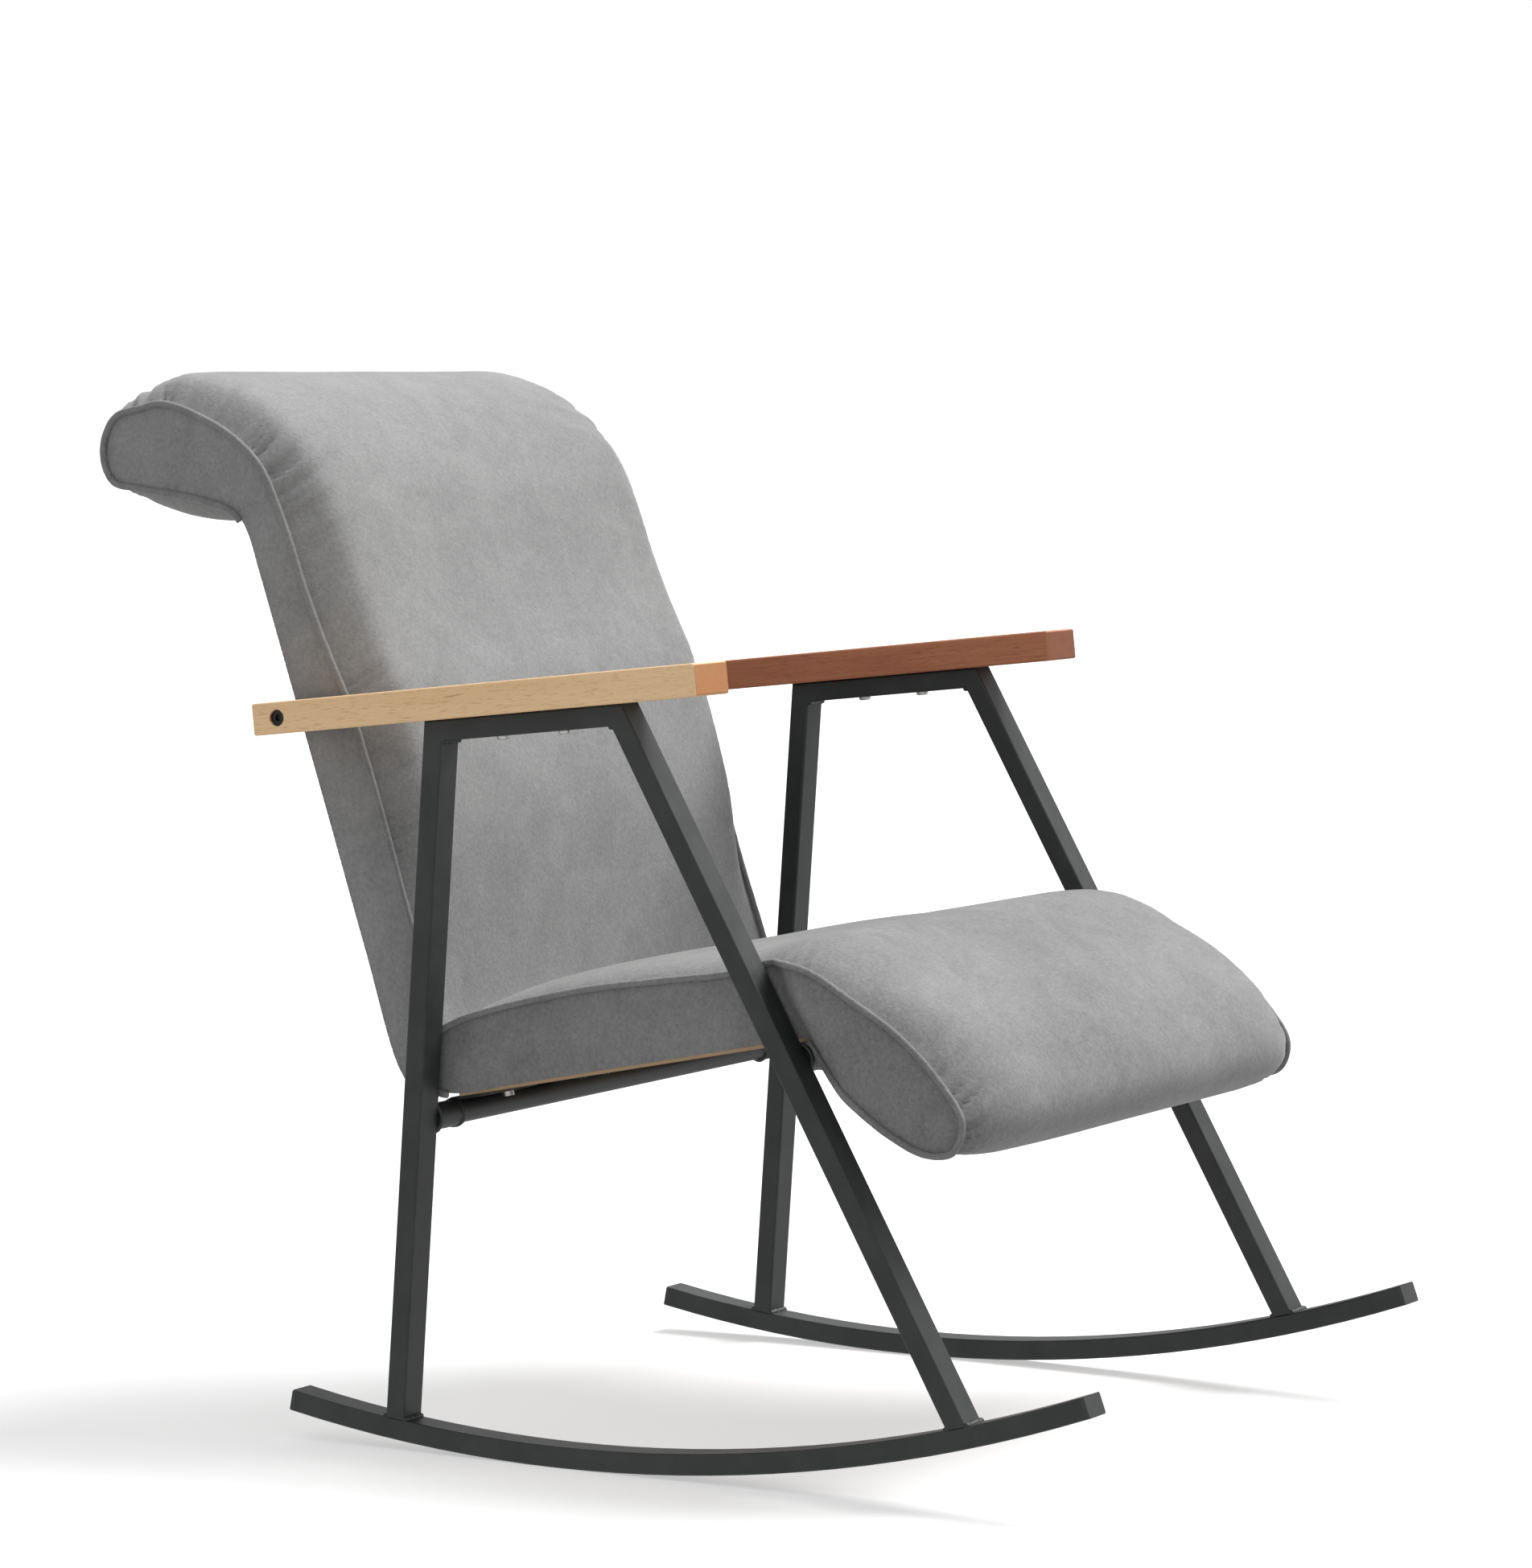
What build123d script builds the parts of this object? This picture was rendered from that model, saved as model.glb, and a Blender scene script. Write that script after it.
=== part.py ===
from build123d import *
import math
import os

# Rocking chair: two welded tube side frames on curved runners, two beech armrests, and an
# upholstered seat and back hung between the frames.
# Millimetres. +Z is up, the chair faces -Y, and X = 0 is its plane of symmetry.
# Profiles are drawn in the side plane as (forward, up) pairs, where forward is -Y and
# forward = 0 is the line on which the runners touch the floor. The finished chair is then
# moved along Y, so that its origin is the bottom centre of its bounding box.

# ---- driving dimensions ----
frame_half_width = 300.0      # centre plane to the outer face of a side frame
tube_width = 26.0             # side-frame tube, measured across the chair
tube_depth = 16.5             # the same tube, measured in the side plane
tube_wall = 2.0
tube_corner = 1.8             # outside corner radius of the tube

runner_radius = 1326.0        # underside of the runner
runner_rear_angle = 10.45     # arc behind the floor line, degrees, without its cap
runner_front_angle = 19.75    # arc ahead of the floor line, degrees, without its cap
cap_flange = 3.0
cap_plug_length = 14.0
cap_plug_clearance = 0.1

rear_leg_foot = -156.0        # forward position of the leg's rear edge line at floor height
rear_leg_lean = -4.0          # degrees from vertical; positive leans back going up
front_leg_foot = 366.7
front_leg_lean = 29.3

arm_height = 576.9            # underside of the armrest at forward = 0
arm_slope = 6.06              # rise towards the front, degrees
armrest_thickness = 25.0
armrest_width = 50.0
armrest_inset = 3.0           # armrest centre line outside the tube's centre line
armrest_front_reach = 133.0   # front end, along the arm line from forward = 0
armrest_rear_margin = 23.0    # arm bolt to the rear end
armrest_edge = 2.0            # eased edges

arm_screw_reaches = (-55.0, 0.0)
arm_screw_diameter = 4.5
arm_screw_head_diameter = 10.0
arm_screw_head_height = 2.8
soft_clearance = 0.4          # soft parts to the pieces they lie against
arm_screw_bite = 18.0         # length of thread in the wood
screw_hole_clearance = 0.3

arm_bolt_diameter = 8.0
arm_bolt_head_diameter = 12.6
arm_bolt_head_height = 3.2
arm_bolt_recess = 2.2         # head sunk below the wood
arm_bolt_bore_clearance = 0.4
arm_bolt_socket = 5.0         # across flats
arm_bolt_socket_depth = 2.2
arm_bolt_engagement = 18.0    # length inside the insert
insert_diameter = 12.0
insert_length = 20.0

seat_slope = 11.2             # rise towards the front, degrees
seat_height = 297.5           # underside of the seat upholstery at forward = 0
seat_side_gap = 7.0           # seat upholstery to the inner face of the frame
seat_front_overhang = 11.0    # the front roll is this much wider than the gap, each side
leg_clearance = 3.5
seat_crown = 17.0
seat_crown_run = 46.0         # from the side panel to the full crown
seat_skin = 6.0               # cover and foam, as one wall round a hollow
seat_board_thickness = 12.0
seat_board_proud = 3.0        # board below the upholstery
seat_board_rear = -117.0
seat_board_front = 198.0
seat_board_margin = 12.0      # board narrower than the upholstery, each side

cross_tube_diameter = 18.0
cross_tube_wall = 1.5
sleeve_diameter = 21.0
sleeve_length = 34.0
tab_length = 78.0
tab_width = 36.0
tab_thickness = 3.0
tab_corner = 6.0
tab_root = 3.0                # the tab's welded edge beyond the tube's centre line
tab_from_frame = 34.0         # inner face of the frame to the tab's outer end
tab_bolt_from_frame = 80.0
tab_bolt_inwards = 23.0       # from the cross tube's centre, towards the seat's middle
seat_bolt_diameter = 6.0
seat_bolt_head_diameter = 10.5
seat_bolt_head_height = 4.0
tee_nut_diameter = 18.0
tee_nut_barrel = 7.6
tee_nut_flange = 1.5
bolt_hole_clearance = 0.3

back_foot = -72.7             # where the back's rear plane would meet the floor
back_recline = 18.25          # degrees from vertical
back_side_gap = 7.0           # back upholstery to the inner face of the armrest
back_crown = 34.0
back_crown_run = 40.0
back_skin = 4.0
rear_cover_thickness = 2.4
rear_cover_low = 306.0        # heights along the back's rear plane
rear_cover_high = 742.0
stile_depth = 28.0
stile_width = 26.0
stile_margin = 9.0            # upholstery outside the stile
stile_low = 318.0
stile_high = 742.0
back_board_thickness = 5.0
headrest_board_thickness = 6.0
headrest_board_tip = (822.0, -66.0)  # (up the rear plane, ahead of it)

piping_thickness = 4.6

bracket_width = 30.0
bracket_thickness = 3.0
bracket_from_centre = 110.0
bracket_seat_leg = 102.0      # from the bend
bracket_back_leg = 78.0
bracket_screw_diameter = 4.0
bracket_screw_head_diameter = 8.0
bracket_screw_head_height = 2.2
bracket_screw_bite = 6.4      # thread in the board, or in the rear cover and back board
bracket_screw_pitch = 22.0    # between a leg's two screws
bracket_screw_end = 10.0      # end of the leg to its first screw

# Outlines are closed loops of curves and lines, clockwise with forward to the right. Each
# stretch starts where the one before it ends. A point is two coordinates and the share of
# the crown that it takes. The seat's are (along the slope, above the underside).
seat_outline = [
    (
        "curve",
        [
            (-77.0, 56.0, 0.8),
            (27.0, 61.0, 1.0),
            (148.0, 55.0, 1.0),
            (192.0, 58.0, 1.0),
            (222.0, 48.0, 1.1),
            (254.0, 22.0, 1.3),
            (289.0, -10.0, 1.5),
            (316.0, -47.0, 1.6),
            (329.0, -79.0, 1.3),
            (318.0, -98.0, 0.6),
            (297.0, -97.0, 0.2),
            (272.0, -81.0, 0.1),
            (247.0, -57.0, 0.0),
            (218.0, -22.0, 0.0),
            (202.0, 0.0, 0.0),
        ],
    ),
    ("line", [(-118.0, 0.0, 0.0)]),
    ("curve", [(-128.0, 24.0, 0.0), (-112.0, 49.0, 0.2)]),
]

# The back's outline, in (up the rear plane, ahead of it).
back_outline = [
    (
        "curve",
        [
            (771.0, -34.0, 0.3),
            (808.0, -94.0, 0.15),
            (833.0, -114.0, 0.3),
            (866.0, -92.0, 0.5),
            (860.0, -45.0, 0.75),
            (824.0, 5.0, 0.85),
            (775.0, 29.0, 0.95),
            (692.0, 39.5, 1.0),
            (598.0, 46.0, 1.0),
            (513.0, 46.0, 0.95),
            (422.0, 46.0, 0.5),
            (345.0, 48.0, 0.0),
        ],
    ),
    ("line", [(300.0, 45.0, 0.0)]),
    ("curve", [(279.0, 24.0, 0.0), (300.0, 2.4, 0.0)]),
    ("line", [(748.0, 2.4, 0.0)]),
]

# ---- derived values ----
frame_inner = frame_half_width - tube_width
tube_centre = frame_half_width - tube_width / 2
armrest_centre = tube_centre + armrest_inset
armrest_inner = armrest_centre - armrest_width / 2
armrest_outer = armrest_centre + armrest_width / 2
seat_half_width = frame_inner - seat_side_gap
seat_front_half_width = seat_half_width + seat_side_gap + seat_front_overhang
back_half_width = armrest_inner - back_side_gap
stile_outer = back_half_width - stile_margin
stile_inner = stile_outer - stile_width
runner_top_radius = runner_radius - tube_depth
board_low = -seat_board_proud
board_high = board_low + seat_board_thickness
tab_low = board_low - tab_thickness
cross_tube_drop = tab_low - cross_tube_diameter / 2

tab_direction = {"rear": 1, "front": -1}
SIDES = {"right": -1, "left": 1}  # the sitter's right is -X


# ---- helpers ----
def side_plane(x):
    """The side plane at x: local x is forward, local y is up, and the normal is -X."""
    return Plane(origin=(x, 0, 0), x_dir=(0, -1, 0), z_dir=(-1, 0, 0))


def slab(face, x_low, x_high):
    """Extrude a face drawn in (forward, up) from x_low to x_high."""
    return extrude(side_plane(x_high) * face, amount=x_high - x_low)


def polygon(points):
    return make_face(Polyline(*points, close=True))


def mirrored(part, side):
    """Parts are modelled on the left, at +X, and mirrored for the right."""
    return part if side > 0 else mirror(part, about=Plane.YZ)


def slant(lean):
    """Unit vector up a leg that leans back by lean degrees."""
    return Vector(-math.sin(math.radians(lean)), math.cos(math.radians(lean)))


def meet(p, d, q, e):
    """Where the line p + t d crosses the line q + s e."""
    cross = d.X * e.Y - d.Y * e.X
    gap = q - p
    t = (gap.X * e.Y - gap.Y * e.X) / cross
    return p + d * t


def seat_point(along, above):
    a = math.radians(seat_slope)
    forward = along * math.cos(a) - above * math.sin(a)
    up = seat_height + along * math.sin(a) + above * math.cos(a)
    return Vector(forward, up)


def back_point(up_back, ahead):
    a = math.radians(back_recline)
    forward = back_foot - up_back * math.sin(a) + ahead * math.cos(a)
    up = up_back * math.cos(a) + ahead * math.sin(a)
    return Vector(forward, up)


def arm_point(along, above):
    a = math.radians(arm_slope)
    forward = along * math.cos(a) - above * math.sin(a)
    up = arm_height + along * math.sin(a) + above * math.cos(a)
    return Vector(forward, up)


def arc_point(radius, angle):
    """A point of a runner arc; the angle is measured forward from the floor line."""
    a = math.radians(angle)
    return Vector(radius * math.sin(a), runner_radius - radius * math.cos(a))


def outline_face(outline, place, crown=0.0, grow=0.0):
    """A side-plane face from an outline, pushed outwards by the crown's shares and by grow."""
    flat = [point for _, points in outline for point in points]
    spots = [place(a, b) for a, b, _ in flat]
    pushed = []
    for i, (_, _, share) in enumerate(flat):
        run = (spots[(i + 1) % len(spots)] - spots[i - 1]).normalized()
        outwards = Vector(-run.Y, run.X)
        pushed.append(spots[i] + outwards * (crown * share + grow))
    edges = []
    last = pushed[-1]
    done = 0
    for kind, points in outline:
        stretch = [last] + pushed[done : done + len(points)]
        edges.append(Spline(*stretch) if kind == "curve" else Line(*stretch))
        last = stretch[-1]
        done += len(points)
    return make_face(Curve() + edges)


# ---- the side frame's lines ----
arm_run = Vector(math.cos(math.radians(arm_slope)), math.sin(math.radians(arm_slope)))
arm_start = arm_point(0, 0)
rail_low_start = arm_point(0, -tube_depth)
rear_up = slant(rear_leg_lean)
front_up = slant(front_leg_lean)
rear_leg_back = Vector(rear_leg_foot, 0)
rear_leg_face = rear_leg_back + Vector(rear_up.Y, -rear_up.X) * tube_depth
front_leg_back = Vector(front_leg_foot, 0)
front_leg_face = front_leg_back + Vector(front_up.Y, -front_up.X) * tube_depth
rear_corner = meet(rear_leg_back, rear_up, arm_start, arm_run)
rear_inner_corner = meet(rear_leg_face, rear_up, rail_low_start, arm_run)
front_corner = meet(front_leg_face, front_up, arm_start, arm_run)
front_inner_corner = meet(front_leg_back, front_up, rail_low_start, arm_run)

# The cross tubes sit on the legs' centre lines, under the seat's tabs.
seat_run = seat_point(1, 0) - seat_point(0, 0)
tube_line = seat_point(0, cross_tube_drop)
rear_leg_centre = (rear_leg_back + rear_leg_face) * 0.5
front_leg_centre = (front_leg_back + front_leg_face) * 0.5
cross_tubes = {
    "rear": meet(rear_leg_centre, rear_up, tube_line, seat_run),
    "front": meet(front_leg_centre, front_up, tube_line, seat_run),
}


def seat_along(point):
    """How far along the seat's slope a side-plane point lies."""
    return (point - seat_point(0, 0)).dot(seat_run)


# The arm bolt passes through the stile's centre line at the armrest's mid-thickness.
stile_centre = rear_cover_thickness + stile_depth / 2
back_run = back_point(1, 0) - back_point(0, 0)
arm_bolt = meet(
    back_point(0, stile_centre), back_run, arm_point(0, armrest_thickness / 2), arm_run
)
armrest_rear_reach = (arm_bolt - arm_start).dot(arm_run) - armrest_rear_margin


# ---- side frame ----
def tube_between(corners, coped):
    """A hollow tube on four side-plane corners: the two ends of one long face, then of the other."""
    outer = slab(polygon(corners), frame_inner, frame_half_width)
    a, b, c, d = corners
    along = (b - a).normalized()
    long_edges = [
        e
        for e in outer.edges()
        if abs(e.tangent_at(0.5).dot(Vector(0, -along.X, along.Y))) > 0.999
    ]
    outer = fillet(long_edges, tube_corner)
    across = (d - a) - along * (d - a).dot(along)
    step = across.normalized() * tube_wall
    spare = along * tube_depth
    hollow = polygon([a + step - spare, b + step + spare, c - step + spare, d - step - spare])
    tube = outer - slab(hollow, frame_inner + tube_wall, frame_half_width - tube_wall)
    if coped:
        tube = tube - runner_blank(runner_top_radius, frame_inner - 1, frame_half_width + 1)
    return tube


def runner_blank(inner_radius, x_low, x_high):
    """Everything outside an arc about the runner's centre, as a cutter for the legs' feet."""
    centre = (0, runner_radius)
    ring = Pos(*centre) * (Circle(runner_radius + 60) - Circle(inner_radius))
    return slab(ring, x_low, x_high)


def arc_sector(inner_radius, outer_radius, rear_angle, front_angle):
    """A face between two arcs about the runner's centre."""
    middle = (front_angle - rear_angle) / 2
    low = ThreePointArc(
        arc_point(outer_radius, -rear_angle),
        arc_point(outer_radius, middle),
        arc_point(outer_radius, front_angle),
    )
    high = ThreePointArc(
        arc_point(inner_radius, front_angle),
        arc_point(inner_radius, middle),
        arc_point(inner_radius, -rear_angle),
    )
    return make_face(Curve() + [low, Line(low @ 1, high @ 0), high, Line(high @ 1, low @ 0)])


def make_runner():
    body = slab(
        arc_sector(runner_top_radius, runner_radius, runner_rear_angle, runner_front_angle),
        frame_inner,
        frame_half_width,
    )
    arcs = body.edges().filter_by(GeomType.CIRCLE)
    body = fillet(arcs, tube_corner)
    spare = 1.0
    bore = slab(
        arc_sector(
            runner_top_radius + tube_wall,
            runner_radius - tube_wall,
            runner_rear_angle + spare,
            runner_front_angle + spare,
        ),
        frame_inner + tube_wall,
        frame_half_width - tube_wall,
    )
    return body - bore


def make_runner_cap(front):
    """A plastic plug with a flange that closes one end of a runner."""
    rear, fore = runner_rear_angle, runner_front_angle
    end_angle = fore if front else -rear
    sign = 1 if front else -1
    flange_angle = math.degrees(cap_flange / runner_radius) * sign
    plug_angle = math.degrees(cap_plug_length / runner_radius) * sign
    fit = tube_wall + cap_plug_clearance

    def sector(inner, outer, first, second):
        low, high = min(first, second), max(first, second)
        return arc_sector(inner, outer, -low, high)

    flange = slab(
        sector(runner_top_radius, runner_radius, end_angle, end_angle + flange_angle),
        frame_inner,
        frame_half_width,
    )
    flange = fillet(flange.edges().filter_by(GeomType.CIRCLE), tube_corner)
    plug = slab(
        sector(runner_top_radius + fit, runner_radius - fit, end_angle, end_angle - plug_angle),
        frame_inner + fit,
        frame_half_width - fit,
    )
    return flange + plug


def make_rear_leg():
    foot = rear_leg_back
    face_foot = rear_leg_face
    return tube_between([foot, rear_corner, rear_inner_corner, face_foot], True)


def make_front_leg():
    return tube_between(
        [front_leg_back, front_inner_corner, front_corner, front_leg_face], True
    )


def make_arm_rail():
    rail = tube_between(
        [rear_corner, front_corner, front_inner_corner, rear_inner_corner], False
    )
    hole = arm_screw_diameter + screw_hole_clearance * 2
    for reach in arm_screw_reaches:
        rail = rail - arm_cylinder(reach, hole, -tube_depth - 1, 1)
    return rail


def side_cylinder(base, tip, x, diameter):
    """A cylinder between two points of the side plane at x."""
    axis = tip - base
    plane = Plane(origin=(x, -base.X, base.Y), z_dir=(0, -axis.X, axis.Y))
    return extrude(plane * Circle(diameter / 2), amount=axis.length)


def arm_cylinder(reach, diameter, low, high):
    """A cylinder square to the arm line, on the tube's centre line, between two levels."""
    return side_cylinder(arm_point(reach, low), arm_point(reach, high), tube_centre, diameter)


# ---- armrest and its fasteners ----
def lateral_cylinder(point, diameter, x_low, x_high):
    return slab(Pos(point.X, point.Y) * Circle(diameter / 2), x_low, x_high)


def make_armrest():
    outline = polygon(
        [
            arm_point(armrest_rear_reach, 0),
            arm_point(armrest_front_reach, 0),
            arm_point(armrest_front_reach, armrest_thickness),
            arm_point(armrest_rear_reach, armrest_thickness),
        ]
    )
    arm = fillet(slab(outline, armrest_inner, armrest_outer).edges(), armrest_edge)
    for reach in arm_screw_reaches:
        arm = arm - arm_cylinder(reach, arm_screw_diameter, -1, arm_screw_bite)
    head_bore = arm_bolt_head_diameter + arm_bolt_bore_clearance
    head_floor = armrest_outer - arm_bolt_recess - arm_bolt_head_height
    arm = arm - lateral_cylinder(arm_bolt, head_bore, head_floor, armrest_outer + 1)
    shank_bore = arm_bolt_diameter + arm_bolt_bore_clearance
    return arm - lateral_cylinder(arm_bolt, shank_bore, armrest_inner - 1, head_floor + 1)


def make_arm_screw(reach):
    shank = arm_cylinder(reach, arm_screw_diameter, -tube_depth, arm_screw_bite)
    head = arm_cylinder(
        reach, arm_screw_head_diameter, -tube_depth - arm_screw_head_height, -tube_depth
    )
    rim = head.edges().filter_by(GeomType.CIRCLE).sort_by(Axis.Z)[0]
    return shank + fillet(rim, arm_screw_head_height * 0.6)


def make_arm_bolt():
    head_floor = armrest_outer - arm_bolt_recess - arm_bolt_head_height
    head_top = armrest_outer - arm_bolt_recess
    tip = stile_outer - arm_bolt_engagement
    bolt = lateral_cylinder(arm_bolt, arm_bolt_head_diameter, head_floor, head_top)
    bolt = bolt + lateral_cylinder(arm_bolt, arm_bolt_diameter, tip, head_floor)
    socket = RegularPolygon(arm_bolt_socket / 2, 6, major_radius=False)
    hollow = slab(Pos(arm_bolt.X, arm_bolt.Y) * socket, head_top - arm_bolt_socket_depth, head_top + 1)
    return bolt - hollow


def make_arm_insert():
    """A threaded insert pressed into the stile, where the arm bolt ends."""
    insert = lateral_cylinder(arm_bolt, insert_diameter, stile_outer - insert_length, stile_outer)
    return insert - lateral_cylinder(
        arm_bolt, arm_bolt_diameter, stile_outer - insert_length - 1, stile_outer + 1
    )


def make_arm_spacer():
    """A bush that carries the clamping load through the back's side upholstery."""
    bush = lateral_cylinder(arm_bolt, insert_diameter + 6, stile_outer, armrest_inner)
    bore = arm_bolt_diameter + arm_bolt_bore_clearance
    return bush - lateral_cylinder(arm_bolt, bore, stile_outer - 1, armrest_inner + 1)


# ---- cross tubes, tabs and seat fasteners ----
def make_cross_tube(which):
    centre = cross_tubes[which]
    tube = lateral_cylinder(centre, cross_tube_diameter, -frame_inner, frame_inner)
    bore = cross_tube_diameter - 2 * cross_tube_wall
    return tube - lateral_cylinder(centre, bore, -frame_inner - 1, frame_inner + 1)


def make_sleeve(which):
    """The welding sleeve around one end of a cross tube, chamfered towards the middle."""
    centre = cross_tubes[which]
    sleeve = lateral_cylinder(centre, sleeve_diameter, frame_inner - sleeve_length, frame_inner)
    rim = sleeve.edges().filter_by(GeomType.CIRCLE).sort_by(Axis.X)[0]
    sleeve = chamfer(rim, (sleeve_diameter - cross_tube_diameter) / 2 * 0.8)
    return sleeve - lateral_cylinder(
        centre, cross_tube_diameter, frame_inner - sleeve_length - 1, frame_inner + 1
    )


def seat_slab(along_low, along_high, low, high, x_low, x_high):
    """A block lying on the seat's slope."""
    return slab(
        polygon(
            [
                seat_point(along_low, low),
                seat_point(along_high, low),
                seat_point(along_high, high),
                seat_point(along_low, high),
            ]
        ),
        x_low,
        x_high,
    )


def seat_cylinder(along, x, diameter, low, high):
    """A cylinder square to the seat's slope."""
    return side_cylinder(seat_point(along, low), seat_point(along, high), x, diameter)


def tab_bolt_place(which):
    along = seat_along(cross_tubes[which]) + tab_bolt_inwards * tab_direction[which]
    return along, frame_inner - tab_bolt_from_frame


def make_tab(which):
    along = seat_along(cross_tubes[which])
    outer = frame_inner - tab_from_frame
    root = along - tab_root * tab_direction[which]
    tip = root + tab_width * tab_direction[which]
    tab = seat_slab(min(root, tip), max(root, tip), tab_low, board_low, outer - tab_length, outer)
    normal = Vector(0, seat_run.Y, seat_run.X)
    uprights = [e for e in tab.edges() if abs(e.tangent_at(0.5).dot(normal)) > 0.99]
    tab = fillet(uprights, tab_corner)
    bolt_along, bolt_x = tab_bolt_place(which)
    hole = seat_bolt_diameter + 2 * bolt_hole_clearance
    return tab - seat_cylinder(bolt_along, bolt_x, hole, tab_low - 1, board_low + 1)


def make_seat_bolt(which, side):
    along, x = tab_bolt_place(which)
    head = seat_cylinder(along, x * side, seat_bolt_head_diameter, tab_low - seat_bolt_head_height, tab_low)
    shank = seat_cylinder(along, x * side, seat_bolt_diameter, tab_low, board_high)
    return head + shank


def make_tee_nut(which, side):
    along, x = tab_bolt_place(which)
    flange = seat_cylinder(along, x * side, tee_nut_diameter, board_high, board_high + tee_nut_flange)
    barrel = seat_cylinder(along, x * side, tee_nut_barrel, board_low + 3, board_high)
    bore = seat_cylinder(along, x * side, seat_bolt_diameter, board_low, board_high + 5)
    return flange + barrel - bore


# ---- seat ----
def seat_face(crown=0.0, grow=0.0):
    return outline_face(seat_outline, seat_point, crown, grow)


def loft_between(face_a, x_a, face_b, x_b):
    """A ruled solid between two side-plane faces with matching edges."""
    wire_a = (side_plane(x_a) * face_a).face().outer_wire()
    wire_b = (side_plane(x_b) * face_b).face().outer_wire()
    return Solid.make_loft([wire_a, wire_b], ruled=True)


def crowned_body(draw, crown, half_width, run, grow=0.0):
    """A pad with plain sides that swells to its full outline over the run, on both sides."""
    side_face = draw(0.0, grow)
    full_face = draw(crown, grow)
    half = half_width + grow
    body = slab(full_face, -half + run, half - run)
    for side in SIDES.values():
        body = body + loft_between(side_face, side * half, full_face, side * (half - run))
    return body


def make_seat_board():
    half = seat_half_width - seat_board_margin
    board = seat_slab(seat_board_rear, seat_board_front, board_low, board_high, -half, half)
    for which in cross_tubes:
        for side in SIDES.values():
            along, x = tab_bolt_place(which)
            board = board - seat_cylinder(along, x * side, tee_nut_barrel, board_low + 3, board_high + 1)
            board = board - seat_cylinder(
                along, x * side, seat_bolt_diameter, board_low - 1, board_high + 1
            )
    return cut_away(board, both_sides(*make_bracket_screws()))


def behind_front_leg(x_low, x_high):
    """The region behind a line just ahead of the front legs, where the seat is narrower."""
    foot = front_leg_face + Vector(front_up.Y, -front_up.X) * leg_clearance
    head = foot + front_up * arm_height * 1.2
    far = Vector(-arm_height * 1.5, 0)
    return slab(polygon([foot, head, head + far, foot + far]), x_low, x_high)


def cross_tube_room():
    """The space that the cross tubes and their sleeves take, with clearance for soft parts."""
    room = sleeve_diameter + 2 * soft_clearance
    return [lateral_cylinder(c, room, -frame_inner, frame_inner) for c in cross_tubes.values()]


def back_room():
    """The space that the upholstered back and its piping take, with clearance."""
    half = back_half_width + piping_thickness + soft_clearance
    return slab(back_face(back_crown, soft_clearance), -half, half)


def make_seat_cushion(hardware):
    cushion = crowned_body(seat_face, seat_crown, seat_front_half_width, seat_crown_run)
    notch = behind_front_leg(seat_half_width, frame_half_width)
    cushion = cushion - notch - mirror(notch, about=Plane.YZ)
    cushion = cut_away(cushion, hardware + cross_tube_room() + [back_room()])
    hollow = crowned_body(seat_face, seat_crown, seat_half_width, seat_crown_run, -seat_skin)
    back_clearance = slab(
        back_face(back_crown, soft_clearance + seat_skin), -seat_half_width, seat_half_width
    )
    return cushion - (hollow - back_clearance)


def cut_away(body, pieces):
    for piece in pieces:
        body = body - piece
    return body


# ---- back ----
def back_face(crown=0.0, grow=0.0):
    return outline_face(back_outline, back_point, crown, grow)


def back_slab(low, high, rear, fore, x_low, x_high):
    """A block lying on the back's recline."""
    return slab(
        polygon(
            [
                back_point(low, rear),
                back_point(high, rear),
                back_point(high, fore),
                back_point(low, fore),
            ]
        ),
        x_low,
        x_high,
    )


def make_stile():
    stile = back_slab(
        stile_low,
        stile_high,
        rear_cover_thickness,
        rear_cover_thickness + stile_depth,
        stile_inner,
        stile_outer,
    )
    hole_floor = stile_outer - insert_length
    return stile - lateral_cylinder(arm_bolt, insert_diameter, hole_floor, stile_outer + 1)


def make_back_board():
    fore = rear_cover_thickness + back_board_thickness
    board = back_slab(stile_low, stile_high, rear_cover_thickness, fore, -stile_inner, stile_inner)
    return cut_away(board, both_sides(*make_bracket_screws()))


def headrest_face(grow=0.0):
    """The side-plane shape of the board that carries the headrest roll, from the stiles back."""
    root = back_point(stile_high, rear_cover_thickness + stile_depth)
    tip = back_point(*headrest_board_tip)
    run = (tip - root).normalized()
    up = Vector(run.Y, -run.X)
    start = root - run * grow - up * grow
    end = tip + run * grow - up * grow
    rise = up * (headrest_board_thickness + 2 * grow)
    return polygon([start, end, end + rise, start + rise])


def make_headrest_board():
    return slab(headrest_face(), -stile_inner, stile_inner)


def make_back_cushion(hardware):
    cushion = crowned_body(back_face, back_crown, back_half_width, back_crown_run)
    cushion = cut_away(cushion, hardware)
    hollow = crowned_body(back_face, back_crown, back_half_width, back_crown_run, -back_skin)
    cushion = cushion - hollow
    return max(cushion.solids(), key=lambda solid: solid.volume)


def make_rear_cover():
    cover = back_slab(
        rear_cover_low, rear_cover_high, 0, rear_cover_thickness, -back_half_width, back_half_width
    )
    return cut_away(cover, both_sides(*make_bracket_screws()))


# ---- piping ----
def make_back_piping():
    """The piped edge of a side panel, on its outline, but not where the cover folds round
    the rear edge."""
    outer = back_half_width + piping_thickness
    ring = slab(back_face() - back_face(grow=-piping_thickness), back_half_width, outer)
    depth = rear_cover_thickness + piping_thickness * 1.2
    return ring - back_slab(rear_cover_low, rear_cover_high, 0, depth, back_half_width, outer)


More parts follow.
